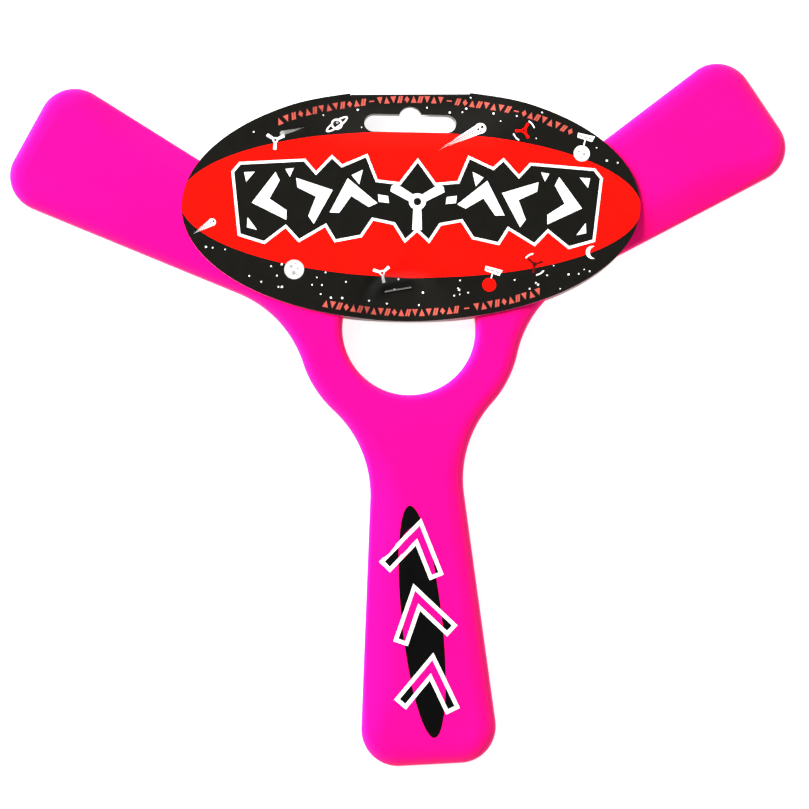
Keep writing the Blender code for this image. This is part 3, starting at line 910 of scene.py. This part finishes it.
def add_fold(bm):
    """The sheet's turn from the front leaf to the back leaf, with its cut ends."""
    steps = 10
    columns = []
    for p in fold_points():
        column = []
        for i in range(steps + 1):
            a = math.pi / 2 - math.pi * i / steps
            pair = []
            for radius in (FOLD_RADIUS, FOLD_RADIUS - BOARD):
                y, z = p.y + radius * math.cos(a), MIDDLE + radius * math.sin(a)
                pair.append(bm.verts.new(to_metres(p.x, y, z)))
            column.append(pair)
        columns.append(column)
    for right, left in zip(columns, columns[1:]):
        for i in range(steps):
            outer = (right[i][0], left[i][0], left[i + 1][0], right[i + 1][0])
            bm.faces.new(outer[::-1]).material_index = BLACK
            inner = (right[i][1], left[i][1], left[i + 1][1], right[i + 1][1])
            bm.faces.new(inner).material_index = INSIDE
    for column in (columns[0], columns[-1]):
        for i in range(steps):
            end = (column[i][0], column[i][1], column[i + 1][1], column[i + 1][0])
            bm.faces.new(end).material_index = EDGE


def swivelled(bm):
    """Carries a mesh from the card's frame to the hub frame."""
    turn = Matrix.Rotation(CARD_TURN, 3, "Z")
    bmesh.ops.rotate(bm, verts=bm.verts, cent=(HUB.x, HUB.y, 0), matrix=turn)


def make_card():
    bm = bmesh.new()
    add_leaf(bm, front_print(), front=True)
    add_leaf(bm, back_print(), front=False)
    add_fold(bm)
    bmesh.ops.remove_doubles(bm, verts=bm.verts, dist=WELD)
    bmesh.ops.recalc_face_normals(bm, faces=bm.faces)
    swivelled(bm)
    replaced = ["card_front_leaf", "card_back_leaf", "card_fold"]
    card = make_object("printed_hang_card", bm, CARD_MATERIALS, "card", replaced)
    shade(card)


# --------------------------------------------------------------------------------------------------
# Staple


def make_staple():
    """Flattened round wire swept along the crown, down both legs and in along the clinched ends."""
    bend, clinch, play = 0.45, 3.4, 0.02  # radius of the bends, length of the clinched ends, gap to the board
    roundness = 0.8  # of the wire's section: 1 is an ellipse, less is squarer
    cut_size = 0.8  # of the cut ends, as a share of the wire
    sides, bend_steps = 16, 8
    grip = FRONT_BASE - PINCH + BOARD - MIDDLE
    crown = MIDDLE + grip + WIRE_THICKNESS / 2 + play
    under = MIDDLE - grip - WIRE_THICKNESS / 2 - play
    leg = STAPLE_SPAN / 2
    clinched = ((1.0, 0.28), (0.6, 0.22), (0.3, 0.1))  # share of the clinched length, sag below the board
    half = [Vector((leg - clinch * part, under - sag)) for part, sag in clinched]
    half += [p for p, _ in arc(Vector((leg - bend, under + bend)), bend, -math.pi / 2, 0, bend_steps)]
    half += [p for p, _ in arc(Vector((leg - bend, crown - bend)), bend, 0, math.pi / 2, bend_steps)]
    half += [Vector((leg - bend - 0.8, crown + 0.015)), Vector((1.5, crown + 0.04))]  # the crown bows a little
    path = half + [Vector((-p.x, p.y)) for p in reversed(half)]
    turn = Matrix.Rotation(STAPLE_TURN, 2)
    bm = bmesh.new()
    rows = []
    for i, p in enumerate(path):
        before, after = path[max(0, i - 1)], path[min(len(path) - 1, i + 1)]
        along = (after - before).normalized()
        up = Vector((-along.y, along.x))
        shrink = cut_size if i in (0, len(path) - 1) else 1.0
        row = []
        for k in range(sides):
            a = math.tau * k / sides
            c, s = math.cos(a), math.sin(a)
            across = shrink * WIRE_WIDTH / 2 * math.copysign(abs(c) ** roundness, c)
            rise = shrink * WIRE_THICKNESS / 2 * math.copysign(abs(s) ** roundness, s)
            flat = turn @ Vector((p.x + up.x * rise, across)) + STAPLE_CENTRE
            row.append(bm.verts.new(to_metres(flat.x, flat.y, p.y + up.y * rise)))
        rows.append(row)
    for low, high in zip(rows, rows[1:]):
        for k in range(sides):
            n = (k + 1) % sides
            bm.faces.new((low[k], low[n], high[n], high[k]))
    bm.faces.new(rows[0][::-1])
    bm.faces.new(rows[-1])
    bmesh.ops.recalc_face_normals(bm, faces=bm.faces)
    swivelled(bm)
    staple = make_object("wire_staple", bm, [ZINC], "card", ["staple"])
    shade(staple, WIRE_SHARP)


# --------------------------------------------------------------------------------------------------
# Print on the blade


def bent_bar(elbow_at, tilt, arm=16.8, stroke=5.2, spread=66):
    """A bent bar with square ends, its elbow towards the hub, like a plain two-arm boomerang."""
    half = math.radians(spread) / 2
    point = stroke / 2 / math.sin(half)
    ends = []
    for side in (1, -1):
        along = Vector((-math.cos(half), side * math.sin(half))) * arm
        across = Vector((math.sin(half), side * math.cos(half))) * stroke / 2
        ends.append((along + across, along - across))
    loop = [Vector((point, 0)), ends[0][0], ends[0][1], Vector((-point, 0)), ends[1][1], ends[1][0]]
    shift = Vector((arm * math.cos(half) / 2, 0))
    return turned([p + shift for p in loop], tilt, elbow_at)


def body_height(body):
    """A function that gives the level of the body's upper surface at a point of the hub frame."""
    surface = BVHTree.FromObject(body, bpy.context.evaluated_depsgraph_get())
    above = 50

    def height(x, y):
        hit, *_ = surface.ray_cast(to_metres(x, y, above), Vector((0, 0, -1)))
        return hit.z / MM

    return height


def make_decal(body):
    """A black oval with three bent bars across it.

    Inside its white line a bar is bare plastic on the oval and black beside it.
    """
    turn = BODY_TURN + math.pi / 2
    centre = Matrix.Rotation(turn, 2) @ Vector((-DECAL_STATION, DECAL_ASIDE))
    seed = turned(oval(0, 0, OVAL_LENGTH / 2, OVAL_WIDTH / 2, 72), turn + OVAL_TURN, centre)
    bars = []
    for along, lean in BARS:
        place = Matrix.Rotation(OVAL_TURN, 2) @ Vector((along, 0))
        bars.append(turned(bent_bar(place, math.radians(lean)), turn, centre))
    cores = [inset(bar, BAR_LINE) for bar in bars]
    shapes = [(seed, FILM_DARK)] + [(bar, FILM_LIGHT) for bar in bars]
    shapes += [(core, FILM_DARK) for core in cores]
    step, reach = 1.6, 32  # spacing of the points between the lines, and how many steps they reach each way
    span = range(-reach, reach + 1)
    grid = [centre + Vector((i, j)) * step for i in span for j in span]
    bounds = [seed, *bars]
    at, faces, kinds, middles = triangulated([*bounds, *cores], grid, shapes, bounds, [])
    x, y = middles[:, 0], middles[:, 1]
    bare = np.zeros(len(x), bool)
    for core in cores:
        bare |= inside(x, y, core)
    bare &= inside(x, y, seed)
    height = body_height(body)

    def top(x, y):
        return height(x, y) + FILM_TOP

    def under(x, y):
        return height(x, y) + FILM_UNDER

    bm = bmesh.new()
    add_slab(bm, at, faces[~bare], kinds[~bare], top, under)
    bmesh.ops.recalc_face_normals(bm, faces=bm.faces)
    decal = make_object("blade_print", bm, FILM_MATERIALS, "boomerang", ["blade_decal"])
    shade(decal)


# --------------------------------------------------------------------------------------------------
# Camera, light and floor


def make_camera():
    """Looks down from a little below the card, so the fold side is slightly further off."""
    at, aim = Vector((-0.01665, -0.05602, 0.5958)), Vector((0.00135, 0.00078, 0.0025))
    data = bpy.data.cameras.new("camera")
    data.lens, data.sensor_width = 76.0, 36.0
    camera = bpy.data.objects.new("camera", data)
    bpy.context.scene.collection.objects.link(camera)
    look = (aim - at).normalized()
    right = look.cross(Vector((0, 1, 0))).normalized()
    up = right.cross(look)
    rotation = Matrix((right, up, -look)).transposed().to_4x4()
    camera.matrix_world = Matrix.Translation(at) @ rotation
    bpy.context.scene.camera = camera


def area_light(name, azimuth, elevation, distance, size, power):
    """A square soft light aimed at the object. Azimuth is counted anticlockwise from +X."""
    data = bpy.data.lights.new(name, "AREA")
    data.size, data.energy = size, power
    light = bpy.data.objects.new(name, data)
    bpy.context.scene.collection.objects.link(light)
    a, e = math.radians(azimuth), math.radians(elevation)
    out = Vector((math.cos(a) * math.cos(e), math.sin(a) * math.cos(e), math.sin(e)))
    light.location = out * distance
    light.rotation_euler = out.to_track_quat("Z", "Y").to_euler()
    return light


def make_world():
    """Even studio light that is weaker overhead, so that gloss on the flat card stays low."""
    world = bpy.data.worlds.new("studio")
    bpy.context.scene.world = world
    world.use_nodes = True
    tree = world.node_tree
    place = tree.nodes.new("ShaderNodeTexCoord")
    split = tree.nodes.new("ShaderNodeSeparateXYZ")
    ramp = tree.nodes.new("ShaderNodeMapRange")
    for key, number in (("From Min", 0.50), ("From Max", 0.93), ("To Min", 1.1), ("To Max", 0.04)):
        ramp.inputs[key].default_value = number
    tree.links.new(place.outputs["Generated"], split.inputs[0])
    tree.links.new(split.outputs["Z"], ramp.inputs["Value"])
    tree.nodes["Background"].inputs["Color"].default_value = (1, 1, 1, 1)
    tree.links.new(ramp.outputs["Result"], tree.nodes["Background"].inputs["Strength"])


FLOOR_GLOW = 0.80  # the pale floor is a light table, which keeps shadows faint
FLOOR_REACH = 3.0


def make_floor():
    bm = bmesh.new()
    bmesh.ops.create_grid(bm, x_segments=1, y_segments=1, size=FLOOR_REACH)
    mesh = bpy.data.meshes.new("floor")
    bm.to_mesh(mesh)
    bm.free()
    m = Nodes("floor_light_table").set(Roughness=0.9, Specular_IOR_Level=0.1, Emission_Strength=FLOOR_GLOW)
    m.set(Emission_Color=(1, 1, 1, 1))
    m.colour(m.mix(m.noise(3.0), (0.50, 0.50, 0.50), (0.53, 0.53, 0.53)))
    mesh.materials.append(m.material)
    floor = bpy.data.objects.new("floor", mesh)
    floor.location.z = -FLOOR_DROP
    bpy.context.scene.collection.objects.link(floor)


make_camera()
body = make_body()
make_decal(body)
make_card()
make_staple()
make_world()
key = area_light("key", azimuth=150, elevation=20, distance=2.6, size=1.4, power=360)
key.visible_glossy = False  # it lies low, and its mirror image would bleach the pack from the far side
make_floor()
bpy.context.scene.view_settings.view_transform = "Standard"
